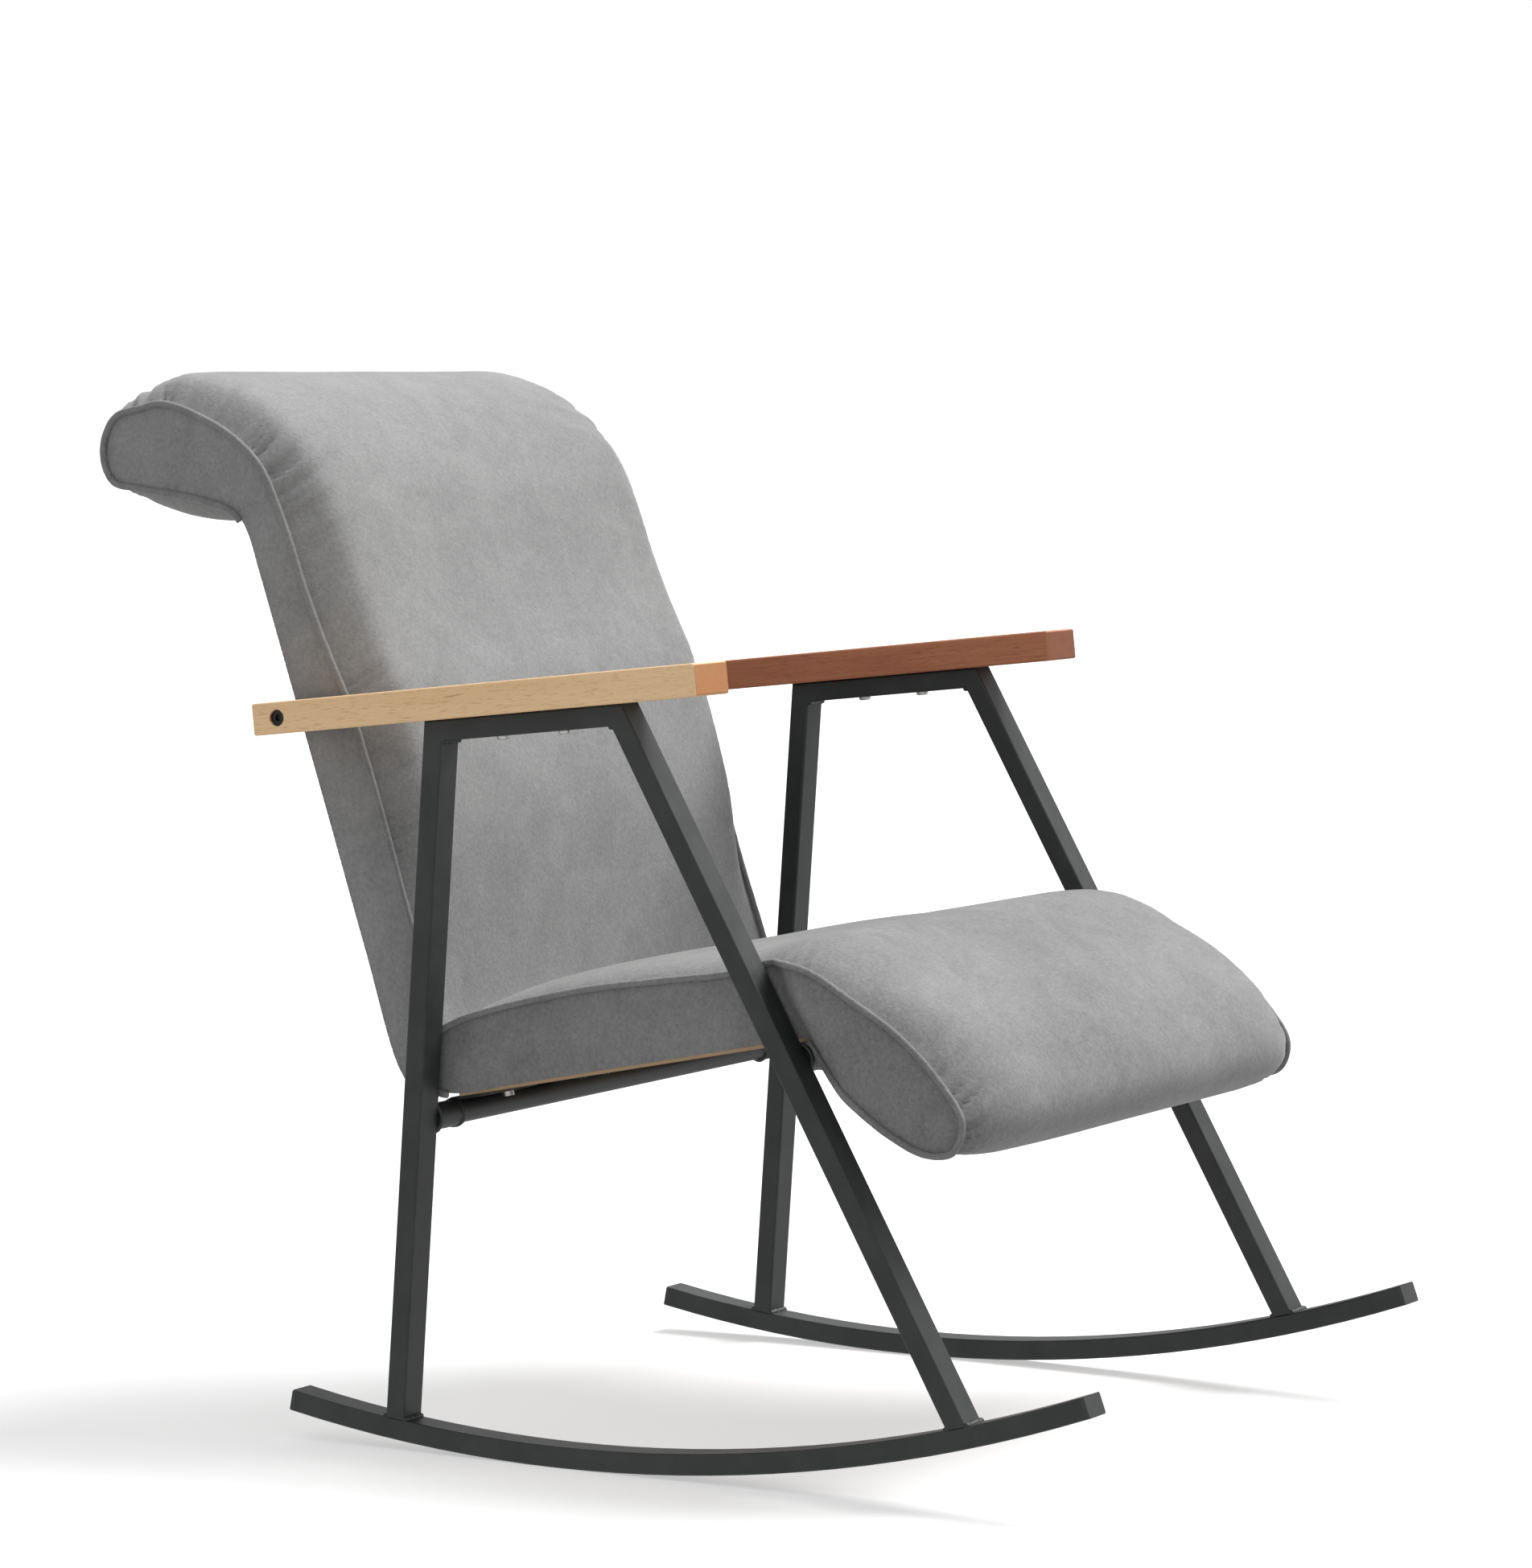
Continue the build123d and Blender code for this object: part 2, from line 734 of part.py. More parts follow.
def make_seat_piping():
    """As on the back, stepped out with the front roll, and absent along the board, where the
    cover is stapled to its underside."""
    ring = seat_face() - seat_face(grow=-piping_thickness)
    rear = slab(ring, seat_half_width, seat_half_width + piping_thickness)
    front = slab(ring, seat_front_half_width, seat_front_half_width + piping_thickness)
    behind = behind_front_leg(seat_half_width - 1, frame_half_width)
    piping = (rear & behind) + (front - behind)
    depth = piping_thickness * 1.2
    stapled = seat_slab(seat_board_rear, seat_board_front, 0, depth, seat_half_width, frame_inner)
    return cut_away(piping, cross_tube_room() + [stapled])


# ---- brackets between seat and back ----
def bracket_corner():
    under_seat = seat_point(0, board_low - bracket_thickness)
    behind_back = back_point(0, -bracket_thickness)
    return meet(under_seat, seat_run, behind_back, back_run)


def make_bracket():
    """A bent steel strap: one leg under the seat board, one up behind the back board."""
    seat_end, back_end = bracket_ends()
    outline = polygon(
        [
            bracket_corner(),
            seat_point(seat_end, board_low - bracket_thickness),
            seat_point(seat_end, board_low),
            meet(seat_point(0, board_low), seat_run, back_point(0, 0), back_run),
            back_point(back_end, 0),
            back_point(back_end, -bracket_thickness),
        ]
    )
    low = bracket_from_centre - bracket_width / 2
    return cut_away(slab(outline, low, low + bracket_width), make_bracket_screws())


def bracket_ends():
    """Where the bracket's legs end, along the seat's slope and up the back's rear plane."""
    corner = bracket_corner()
    back_end = (corner - back_point(0, 0)).dot(back_run) + bracket_back_leg
    return seat_along(corner) + bracket_seat_leg, back_end


def make_bracket_screws():
    """Two wood screws in each leg of one bracket, each with its head outside the leg."""
    seat_end, back_end = bracket_ends()
    screws = []
    for inset in (bracket_screw_end, bracket_screw_end + bracket_screw_pitch):
        for place, reach, face in (
            (seat_point, seat_end - inset, board_low),
            (back_point, back_end - inset, 0),
        ):
            outside = place(reach, face - bracket_thickness)
            top = place(reach, face - bracket_thickness - bracket_screw_head_height)
            tip = place(reach, face + bracket_screw_bite)
            head = side_cylinder(top, outside, bracket_from_centre, bracket_screw_head_diameter)
            shank = side_cylinder(outside, tip, bracket_from_centre, bracket_screw_diameter)
            screws.append(head + shank)
    return screws


PARTS = {}


def add_pair(name, part):
    """Store a left-hand part and its mirror image."""
    for side_name, side in SIDES.items():
        PARTS[f"{side_name}_{name}"] = mirrored(part, side)


def add_frame():
    add_pair("runner", make_runner())
    add_pair("runner_front_cap", make_runner_cap(True))
    add_pair("runner_rear_cap", make_runner_cap(False))
    add_pair("rear_leg", make_rear_leg())
    add_pair("front_leg", make_front_leg())
    add_pair("arm_rail", make_arm_rail())
    for which in cross_tubes:
        PARTS[f"{which}_cross_tube"] = make_cross_tube(which)
        add_pair(f"{which}_sleeve", make_sleeve(which))
        add_pair(f"{which}_seat_tab", make_tab(which))


def both_sides(*parts):
    return [copy for part in parts for copy in (part, mirror(part, about=Plane.YZ))]


def add_arms():
    add_pair("armrest", make_armrest())
    add_pair("arm_spacer", make_arm_spacer())
    screws = []
    for reach in arm_screw_reaches:
        screws += both_sides(make_arm_screw(reach))
    PARTS["arm_screws"] = Compound(children=screws)
    PARTS["arm_bolts"] = Compound(children=both_sides(make_arm_bolt()))
    PARTS["arm_inserts"] = Compound(children=both_sides(make_arm_insert()))


def add_seat():
    PARTS["seat_board"] = make_seat_board()
    bolts, nuts = [], []
    for which in cross_tubes:
        for side in SIDES.values():
            bolts.append(make_seat_bolt(which, side))
            nuts.append(make_tee_nut(which, side))
    PARTS["seat_bolts"] = Compound(children=bolts)
    PARTS["seat_tee_nuts"] = Compound(children=nuts)
    hardware = bolts + nuts + both_sides(*make_bracket_screws())
    PARTS["seat_cushion"] = make_seat_cushion([PARTS["seat_board"]] + hardware)
    add_pair("seat_piping", make_seat_piping())


def add_back():
    stile = make_stile()
    add_pair("back_stile", stile)
    PARTS["back_board"] = make_back_board()
    PARTS["headrest_board"] = make_headrest_board()
    PARTS["back_rear_cover"] = make_rear_cover()
    inside = both_sides(stile, make_arm_insert(), make_arm_spacer(), make_arm_bolt())
    inside += [PARTS["back_board"], PARTS["headrest_board"], PARTS["back_rear_cover"]]
    inside += both_sides(make_bracket(), *make_bracket_screws()) + cross_tube_room()
    for which in cross_tubes:
        inside += both_sides(make_tab(which))
    PARTS["back_cushion"] = make_back_cushion(inside)
    add_pair("back_piping", make_back_piping())
    add_pair("back_bracket", make_bracket())
    PARTS["bracket_screws"] = Compound(children=both_sides(*make_bracket_screws()))


def centred(parts):
    """Move the chair so that the origin is the bottom centre of its bounding box."""
    boxes = [part.bounding_box() for part in parts.values()]
    middle = (min(box.min.Y for box in boxes) + max(box.max.Y for box in boxes)) / 2
    floor = min(box.min.Z for box in boxes)
    shift = Pos(0, -middle, -floor)
    return {name: [shift * solid for solid in part.solids()] for name, part in parts.items()}


add_frame()
add_arms()
add_seat()
add_back()
os.makedirs("parts", exist_ok=True)
for name, solids in centred(PARTS).items():
    export_step(Compound(solids), f"parts/{name}.step")
print(len(PARTS), "nodes")
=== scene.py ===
import math

import bmesh
import bpy
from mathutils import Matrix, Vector, noise
from mathutils.geometry import interpolate_bezier
from mathutils.kdtree import KDTree


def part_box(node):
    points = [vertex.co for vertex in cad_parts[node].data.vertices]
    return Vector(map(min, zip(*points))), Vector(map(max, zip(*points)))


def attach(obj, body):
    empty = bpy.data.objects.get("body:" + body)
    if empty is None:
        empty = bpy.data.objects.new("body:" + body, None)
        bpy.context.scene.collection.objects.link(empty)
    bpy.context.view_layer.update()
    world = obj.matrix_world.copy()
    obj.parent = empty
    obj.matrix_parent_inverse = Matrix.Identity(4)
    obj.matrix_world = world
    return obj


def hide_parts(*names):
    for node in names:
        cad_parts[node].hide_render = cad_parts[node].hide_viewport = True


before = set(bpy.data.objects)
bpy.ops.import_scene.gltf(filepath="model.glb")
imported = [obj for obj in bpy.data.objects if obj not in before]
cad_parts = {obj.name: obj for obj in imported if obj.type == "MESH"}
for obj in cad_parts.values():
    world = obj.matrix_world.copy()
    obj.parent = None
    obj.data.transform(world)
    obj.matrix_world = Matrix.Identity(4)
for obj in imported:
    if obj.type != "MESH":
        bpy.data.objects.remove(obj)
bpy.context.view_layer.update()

# Rocking chair: velvet seat and back on a coated tube frame with two beech armrests.
# Profiles are in millimetres, as (forward, up) in the side plane, with forward = -Y.

mm = 0.001
sides = {"right": -1, "left": 1}
frameSet = {
    "boltsBehind": 241.36,  # the arm bolts' distance behind the line where the runners touch the floor
    "railSlope": 6.06, "railUnder": 560.3,
    "runnerCentre": 1326.0, "runnerTop": 1309.5,  # height of the arc's centre, radius of the top face
    "legs": {  # each leg's edge lines: forward at floor height, lean in degrees
        "rearBack": (-156.0, 4.0), "rearFront": (-139.46, 4.0),
        "frontBack": (366.7, -29.3), "frontFront": (385.6, -29.3)},
}

boltLow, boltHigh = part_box("arm_bolts")
floorLineY = (boltLow.y + boltHigh.y) / 2 - frameSet["boltsBehind"] * mm


def sidePoint(x, forward, up):
    return Vector((x * mm, floorLineY - forward * mm, up * mm))


def onLeg(edge, up):  # forward position of a leg's edge line at this height
    start, lean = frameSet["legs"][edge]
    return start + up * math.tan(math.radians(lean))


def smoothStep(value):
    value = min(1.0, max(0.0, value))
    return value * value * (3 - 2 * value)


def rgb(red, green, blue):
    return (red, green, blue, 1.0)


class Wire:  # an output in a node tree; sums on it add Math nodes
    def __init__(self, finish, socket):
        self.finish = finish
        self.socket = socket

    def maths(self, operation, first, second):
        return self.finish.add("ShaderNodeMath", {"operation": operation}, {0: first, 1: second})

    def __add__(self, other):
        return self.maths("ADD", self, other)

    def __radd__(self, other):
        return self.maths("ADD", other, self)

    def __sub__(self, other):
        return self.maths("SUBTRACT", self, other)

    def __rsub__(self, other):
        return self.maths("SUBTRACT", other, self)

    def __mul__(self, other):
        return self.maths("MULTIPLY", self, other)

    def __rmul__(self, other):
        return self.maths("MULTIPLY", other, self)


class Finish:  # one material
    def __init__(self, name):
        self.material = bpy.data.materials.new(name)
        self.material.use_nodes = True
        self.tree = self.material.node_tree
        self.shader = self.tree.nodes["Principled BSDF"]

    def add(self, kind, settings=None, inputs=None, output=0):
        node = self.tree.nodes.new(kind)
        for key, value in (settings or {}).items():
            setattr(node, key, value)
        for key, value in (inputs or {}).items():
            self.feed(node.inputs[key], value)
        return Wire(self, node.outputs[output])

    def feed(self, socket, value):
        if isinstance(value, Wire):
            self.tree.links.new(value.socket, socket)
        else:
            socket.default_value = value

    def place(self, scale=(1, 1, 1), turn=(0, 0, 0), shift=(0, 0, 0)):
        spot = self.add("ShaderNodeTexCoord", output="Object")
        turned = self.add("ShaderNodeMapping", {}, {"Vector": spot, "Rotation": turn, "Location": shift})
        return self.add("ShaderNodeMapping", {}, {"Vector": turned, "Scale": scale})

    def cloud(self, place, scale, detail=2.0, rough=0.5, swirl=0.0):
        return self.add("ShaderNodeTexNoise", {}, {
            "Vector": place, "Scale": scale, "Detail": detail, "Roughness": rough, "Distortion": swirl})

    def band(self, value, low, high):  # 0 below low, 1 above high
        return self.add("ShaderNodeMapRange", {"interpolation_type": "SMOOTHSTEP"}, {
            "Value": value, "From Min": low, "From Max": high})

    def axis(self, vector, index):
        return self.add("ShaderNodeSeparateXYZ", {}, {0: vector}, index)

    def mixed(self, factor, first, second):
        return self.add("ShaderNodeMix", {"data_type": "RGBA"}, {0: factor, 6: first, 7: second}, 2)

    def bump(self, height, depth, strength):
        return self.add("ShaderNodeBump", {}, {"Height": height, "Distance": depth, "Strength": strength})

    def set(self, **values):
        for key, value in values.items():
            self.feed(self.shader.inputs[key.replace("_", " ")], value)
        return self.material


velvetSet = {
    "shade": rgb(0.115, 0.115, 0.115), "light": rgb(0.300, 0.2995, 0.299),
    "handMarks": 7.0, "rubs": 26.0, "pile": 300.0, "fibre": 1100.0,
    "markShare": 0.52, "rubShare": 0.40, "pileShare": 0.60, "fibreShare": 0.45,
    "rough": 0.86, "sheen": 0.22, "sheenRoughness": 0.45, "specular": 0.18,
    "pileDepth": 0.0007, "pileStrength": 0.55,
    "seatPaintedShade": -0.19, "backLift": 0.0, "pipingPaintedShade": -0.18,  # how much lighter each one is; the seat and the piping are the back's velvet painted darker, as painted shade
}


def velvet(name, lift):
    finish = Finish(name)
    spot = finish.place()
    marks = finish.cloud(spot, velvetSet["handMarks"], 4.0, 0.55, 0.6)
    rubs = finish.cloud(spot, velvetSet["rubs"], 3.0, 0.6, 1.2)
    pile = finish.cloud(spot, velvetSet["pile"], 2.0, 0.6)
    fibre = finish.cloud(spot, velvetSet["fibre"], 1.0, 0.5)
    tone = 0.5 + lift + (marks - 0.5) * velvetSet["markShare"] + (rubs - 0.5) * velvetSet["rubShare"]
    tone = tone + (pile - 0.5) * velvetSet["pileShare"] + (fibre - 0.5) * velvetSet["fibreShare"]
    height = pile * 0.7 + fibre * 0.3
    return finish.set(
        Base_Color=finish.mixed(tone, velvetSet["shade"], velvetSet["light"]),
        Roughness=velvetSet["rough"] - marks * 0.12,
        Normal=finish.bump(height, velvetSet["pileDepth"], velvetSet["pileStrength"]),
        Sheen_Weight=velvetSet["sheen"], Sheen_Roughness=velvetSet["sheenRoughness"],
        Specular_IOR_Level=velvetSet["specular"])


coatSet = {
    "deep": rgb(0.0105, 0.0128, 0.0125), "worn": rgb(0.0265, 0.030, 0.0292),
    "scratch": rgb(0.075, 0.080, 0.078), "scratchStretch": (900, 14, 14),
    "grain": 1500.0, "grainDepth": 0.00006, "haze": 22.0, "dust": 700.0, "scuffs": 14.0,
    "rough": 0.40, "specular": 0.5,
}


def powderCoat(name):
    finish = Finish(name)
    spot = finish.place()
    grain = finish.cloud(spot, coatSet["grain"], 2.0, 0.5)
    haze = finish.cloud(spot, coatSet["haze"], 4.0, 0.6)
    dust = finish.cloud(spot, coatSet["dust"], 3.0, 0.7)
    lines = finish.cloud(finish.place(scale=coatSet["scratchStretch"]), 1.0, 2.0, 0.5, 0.4)
    scuffs = finish.cloud(spot, coatSet["scuffs"], 2.0, 0.5)
    scratch = finish.band(lines, 0.70, 0.74) * finish.band(scuffs, 0.52, 0.62)
    tone = finish.band(haze, 0.30, 0.72) * 0.7 + finish.band(dust, 0.60, 0.80) * 0.35
    colour = finish.mixed(tone, coatSet["deep"], coatSet["worn"])
    return finish.set(
        Base_Color=finish.mixed(scratch * 0.6, colour, coatSet["scratch"]),
        Roughness=coatSet["rough"] + haze * 0.16 - scratch * 0.10,
        Normal=finish.bump(grain, coatSet["grainDepth"], 0.5),
        Specular_IOR_Level=coatSet["specular"])


woodSet = {
    "right_armrest": {
        "name": "rightArmWood", "shift": (0.0, 0.0, 0.0), "figure": 0.8, "marked": True,
        "pale": rgb(0.760, 0.530, 0.305), "dark": rgb(0.640, 0.415, 0.210),
        "fleck": rgb(0.390, 0.205, 0.088), "end": rgb(0.420, 0.165, 0.052)},
    # The left armrest is the same beech as the right one, painted darker and redder as painted shade on its
    # inner face, the face in view.
    "left_armrest": {
        "name": "leftArmWoodPaintedShade", "shift": (0.31, 0.17, 0.05), "figure": 1.5, "marked": False,
        "pale": rgb(0.520, 0.210, 0.100), "dark": rgb(0.350, 0.114, 0.052),
        "fleck": rgb(0.150, 0.052, 0.028), "end": rgb(0.230, 0.066, 0.022)},
}
grainSet = {  # how each part of the figure is stretched, with the grain along Y
    "bands": (34, 2.2, 34), "lines": (520, 9, 520), "pores": (1500, 110, 1500),
    "flecks": (1300, 95, 1300), "rings": (90, 90, 260), "depth": 0.00025,
    "checkPlace": (0.0, -0.0165, -0.5903), "checkLong": 110.0, "checkThin": 1500.0, "checkSlant": 0.07,
}


def beech(look):
    finish = Finish(look["name"])
    turn = (math.radians(frameSet["railSlope"]), 0, 0)

    def along(word):
        return finish.place(grainSet[word], turn, look["shift"])

    bands = finish.cloud(along("bands"), 1.0, 4.0, 0.6, 0.5 * look["figure"])
    lines = finish.cloud(along("lines"), 1.0, 3.0, 0.6, 0.2)
    pores = finish.cloud(along("pores"), 1.0, 1.0, 0.5)
    flecks = finish.cloud(along("flecks"), 1.0, 1.0, 0.5)
    rings = finish.cloud(along("rings"), 1.0, 3.0, 0.6)
    tone = (bands - 0.5) * 1.3 * look["figure"] + (lines - 0.5) * 0.9 + 0.45
    fleck = finish.band(flecks, 0.60, 0.70) * 0.42 + finish.band(pores, 0.62, 0.72) * 0.20
    colour = finish.mixed(tone, look["pale"], look["dark"])
    colour = finish.mixed(fleck, colour, look["fleck"])
    lengthwise = finish.axis(finish.add("ShaderNodeTexCoord", output="Normal"), 1)
    endGrain = finish.band(lengthwise * lengthwise, 0.70, 0.86)
    endColour = finish.mixed((rings - 0.5) * 1.6 + 0.35, look["end"], look["fleck"])
    colour = finish.mixed(endGrain, colour, endColour)
    if look["marked"]:
        colour = finish.mixed(woodCheck(finish, turn), colour, look["fleck"])
    return finish.set(
        Base_Color=colour, Roughness=0.46 + lines * 0.14,
        Normal=finish.bump(lines * 0.6 + pores * 0.4, grainSet["depth"], 0.35),
        Specular_IOR_Level=0.45)


def woodCheck(finish, turn):  # a short dark check in the armrest's outer face
    local = finish.place((1, 1, 1), turn, grainSet["checkPlace"])
    lengthwise = finish.axis(local, 1)
    wobble = (finish.cloud(local, 300.0) - 0.5) * 0.0022
    across = (finish.axis(local, 2) + wobble + lengthwise * grainSet["checkSlant"]) * grainSet["checkThin"]
    long = lengthwise * grainSet["checkLong"]
    return (1.0 - finish.band(long * long + across * across, 0.4, 1.1)) * 0.75


boardSet = {
    "ply": {"pale": rgb(0.62, 0.44, 0.26), "dark": rgb(0.36, 0.22, 0.11),
            "stretch": (60, 5, 60), "slope": 11.2, "sheets": 130.0},
    "pine": {"pale": rgb(0.72, 0.55, 0.33), "dark": rgb(0.52, 0.34, 0.17), "stretch": (160, 160, 8)},
}


def plyBoard(name, look):
    finish = Finish(name)
    face = finish.cloud(finish.place(look["stretch"]), 1.0, 4.0, 0.6, 0.6)
    sheets = finish.add("ShaderNodeTexWave", {"wave_type": "BANDS", "bands_direction": "Z"}, {
        "Vector": finish.place(turn=(math.radians(look["slope"]), 0, 0)),
        "Scale": look["sheets"], "Distortion": 1.0})
    return finish.set(
        Base_Color=finish.mixed(face * 0.7 + sheets * 0.3, look["pale"], look["dark"]),
        Roughness=0.62 + face * 0.1, Normal=finish.bump(face, 0.0003, 0.4))


def pineStile(name, look):
    finish = Finish(name)
    grain = finish.cloud(finish.place(look["stretch"]), 1.0, 3.0, 0.6, 0.4)
    return finish.set(
        Base_Color=finish.mixed(grain, look["pale"], look["dark"]),
        Roughness=0.6 + grain * 0.1, Normal=finish.bump(grain, 0.0002, 0.4))


plainSet = {
    "blackPlastic": {"first": rgb(0.012, 0.013, 0.013), "second": rgb(0.035, 0.037, 0.037), "wear": 60.0,
                     "grain": 2200.0, "rough": 0.42, "spread": 0.14, "metal": 0.0, "depth": 0.00008},
    "blackSteel": {"first": rgb(0.010, 0.010, 0.011), "second": rgb(0.045, 0.045, 0.046), "wear": 240.0,
                   "grain": None, "rough": 0.30, "spread": 0.14, "metal": 0.75, "depth": 0.00005},
    "zincPlate": {"first": rgb(0.50, 0.50, 0.48), "second": rgb(0.74, 0.74, 0.71), "wear": 320.0,
                  "grain": None, "rough": 0.24, "spread": 0.16, "metal": 1.0, "depth": 0.00006},
}


def plain(name):  # hardware, shaded by its wear
    look = plainSet[name]
    finish = Finish(name)
    wear = finish.cloud(finish.place(), look["wear"], 3.0, 0.6)
    relief = finish.cloud(finish.place(), look["grain"], 2.0, 0.6) if look["grain"] else wear
    return finish.set(
        Base_Color=finish.mixed(wear, look["first"], look["second"]),
        Roughness=look["rough"] + wear * look["spread"], Metallic=look["metal"],
        Normal=finish.bump(relief, look["depth"], 0.6 if look["grain"] else 0.4))


# The seat and the piping take darker copies of the back's velvet as painted shade; the cloth is the same.
seatVelvetPaintedShade = velvet("seatVelvetPaintedShade", velvetSet["seatPaintedShade"])
backVelvet = velvet("backVelvet", velvetSet["backLift"])
pipingVelvetPaintedShade = velvet("pipingVelvetPaintedShade", velvetSet["pipingPaintedShade"])
frameCoat = powderCoat("frameCoat")
blackPlastic = plain("blackPlastic")
blackBolt = plain("blackSteel")
zinc = plain("zincPlate")
plywood = plyBoard("plywood", boardSet["ply"])
pine = pineStile("pine", boardSet["pine"])
woods = {name: beech(look) for name, look in woodSet.items()}
print("finishes made")


def finishFor(name):
    if name in woods:
        return woods[name]
    for word, material in (
        ("cap", blackPlastic), ("spacer", blackPlastic), ("arm_bolts", blackBolt),
        ("arm_screws", zinc), ("seat_bolts", zinc), ("tee_nuts", zinc), ("inserts", zinc),
        ("board", plywood), ("stile", pine),
    ):
        if word in name:
            return material
    return frameCoat


for name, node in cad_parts.items():
    node.data.materials.clear()
    node.data.materials.append(finishFor(name))
print("frame dressed")

# Each outline starts at the rear or top and runs over the face the sitter touches. The third
# number of a point is its share of the crown, which is how far the stuffing swells there.
seatSet = {
    "turn": 11.2, "base": (0, 297.5), "half": 267.0, "wider": 18.0, "step": 2.3, "fill": 0.75,
    "crown": 17.0, "run": 34.0, "corner": 2.2, "groove": 1.6, "puff": 6.0, "sag": 1.0,
    "gather": 5.0, "gatherLength": 11.0, "gatherReach": 24.0,
    "bareFrom": -118, "bareTo": 204,  # the cover is stapled under the board here, without piping
    "outline": [  # along the slope, above the board's underside
        (-100, 53, 0.5), (-66, 57.5, 0.8), (-27, 60, 0.95), (27, 61, 1), (90, 58, 1),
        (148, 55, 1), (192, 58, 1), (222, 48, 1.1), (254, 22, 1.3), (289, -10, 1.5),
        (316, -47, 1.6), (329, -79, 1.3), (318, -98, 0.6), (297, -97, 0.2), (272, -81, 0.1),
        (247, -57, 0), (218, -22, 0), (202, -1, 0), (185, 0, 0), (120, 0, 0), (40, 0, 0),
        (-50, 0, 0), (-112, 0, 0), (-127, 5, 0), (-133, 22, 0), (-125, 43, 0.2)],
}
backSet = {
    "turn": 18.25, "base": (-72.7, 0), "half": 258.0, "wider": 0.0, "step": 2.3, "fill": 0.8,
    "crown": 34.0, "run": 26.0, "corner": 4.5, "groove": 2.4, "puff": 2.5, "sag": 1.2,
    "gather": 8.5, "gatherLength": 12.5, "gatherReach": 30.0,
    "bareFrom": 290, "bareTo": 752,  # the cover folds round the rear edge here
    "outline": [  # up the rear plane, ahead of it
        (761, -8, 0.25), (778, -31, 0.55), (794, -62, 0.6), (808, -91, 0.45), (818, -109, 0.3),
        (834, -113, 0.3), (852, -107, 0.4), (865, -91, 0.5), (864, -68, 0.65), (861, -46, 0.75),
        (838, -13, 0.85), (813, 11, 0.88), (786, 26, 0.92), (754, 31.5, 1), (721, 34, 1), (688, 35, 1),
        (655, 37.5, 1), (622, 41.5, 1), (590, 46, 1), (540, 48, 0.97), (480, 48, 0.85),
        (422, 47, 0.5), (345, 48, 0), (305, 46, 0), (288, 38, 0), (281, 24, 0), (287, 9, 0), (306, 1, 0),
        (400, 0, 0), (520, 0, 0), (640, -0.6, 0), (710, -1, 0), (744, -2, 0.05)],
}
bareDepth = 6  # how far from the rear plane or the board's underside the piping stays away


def fromSlope(look, along, above):
    angle = math.radians(look["turn"])
    return (along * math.cos(angle) - above * math.sin(angle) + look["base"][0],
            along * math.sin(angle) + above * math.cos(angle) + look["base"][1])


def toSlope(look, point):
    angle = math.radians(look["turn"])
    forward, up = point.x - look["base"][0], point.y - look["base"][1]
    return (forward * math.cos(angle) + up * math.sin(angle),
            up * math.cos(angle) - forward * math.sin(angle))


def seatSide(along, above):
    return fromSlope(seatSet, along, above)


def backSide(up, ahead):
    return fromSlope(backSet, ahead, up)


def pipedSeat(point):
    along, above = toSlope(seatSet, point)
    return not (seatSet["bareFrom"] < along < seatSet["bareTo"] and above < bareDepth)


def pipedBack(point):
    ahead, up = toSlope(backSet, point)
    return not (backSet["bareFrom"] < up < backSet["bareTo"] and ahead < bareDepth)


def smoothLoop(points, step):  # an even closed line through the points
    count = len(points)
    fine = []
    for i in range(count):
        before, start, end, after = (points[(i + k) % count] for k in (-1, 0, 1, 2))
        handle = bend(before, start, end)
        handleBack = bend(after, end, start)
        fine += interpolate_bezier(start, handle, handleBack, end, 24)[:-1]
    lengths = [0.0]
    for i, spot in enumerate(fine):
        lengths.append(lengths[-1] + (fine[(i + 1) % len(fine)] - spot).xy.length)
    total = lengths[-1]
    number = round(total / step)
    ring = []
    k = 0
    for i in range(number):
        target = total * i / number
        while lengths[k + 1] < target:
            k += 1
        share = (target - lengths[k]) / (lengths[k + 1] - lengths[k])
        ring.append(fine[k].lerp(fine[(k + 1) % len(fine)], share))
    return ring, total / number


def bend(before, start, end):  # the centripetal spline's handle after start
    near = math.sqrt((start - before).xy.length)
    far = math.sqrt((end - start).xy.length)
    middle = (2 * near * near + 3 * near * far + far * far) * start
    return (near * near * end - far * far * before + middle) / (3 * near * (near + far))


def outwardOf(ring, i, reach=4):
    ahead = (ring[(i + reach) % len(ring)] - ring[i - reach]).xy
    return Vector((-ahead.y, ahead.x)).normalized()


def bendOf(ring, i, reach=9):  # how sharply the outline turns outwards, per mm
    a, b, c = ring[i - reach].xy, ring[i].xy, ring[(i + reach) % len(ring)].xy
    return max(0.0, (b - a).angle_signed(c - b) / (b - a).length)


def halfAt(look, forward, up):  # half the width; the seat steps out in front of the front legs
    lean = math.radians(frameSet["legs"]["frontFront"][1])
    ahead = (forward - onLeg("frontFront", up)) * math.cos(lean)
    return look["half"] + look["wider"] * smoothStep((ahead - 3.0) / 20.0)


def crossStations(half):  # distances from the left seam to the right one, close together near both
    close = [0, 1.5, 3.5, 6, 9, 12, 15.5, 19, 23, 27, 32, 37, 43, 50, 58, 68, 80]
    wide = [half * k / 12 for k in range(4, 13)]
    leftHalf = [d for d in close if d < wide[0] - 6] + wide
    return leftHalf + [2 * half - d for d in reversed(leftHalf[:-1])]


def edgeRise(look, edge):  # 0 at the seam, 1 on the crown, with a soft corner between
    share = max(0.0, edge) / look["run"]
    return share / (1 + share ** look["corner"]) ** (1 / look["corner"])


gatherSet = {
    "narrow": 4.5, "power": 1.4, "minor": 0.2, "minorLength": 0.6,
    "patch": 31.0, "even": 0.85, "uneven": 0.7, "slant": 0.35, "start": 2.2,
    "least": 0.05, "perBend": 90.0, "perShare": 2.0, "grooveReach": 3.0,
}


def fold(length, s, across, seed):
    wave = noise.noise(Vector((s / length, across, seed)))
    return max(0.0, 1 - abs(wave) * gatherSet["narrow"]) ** gatherSet["power"]


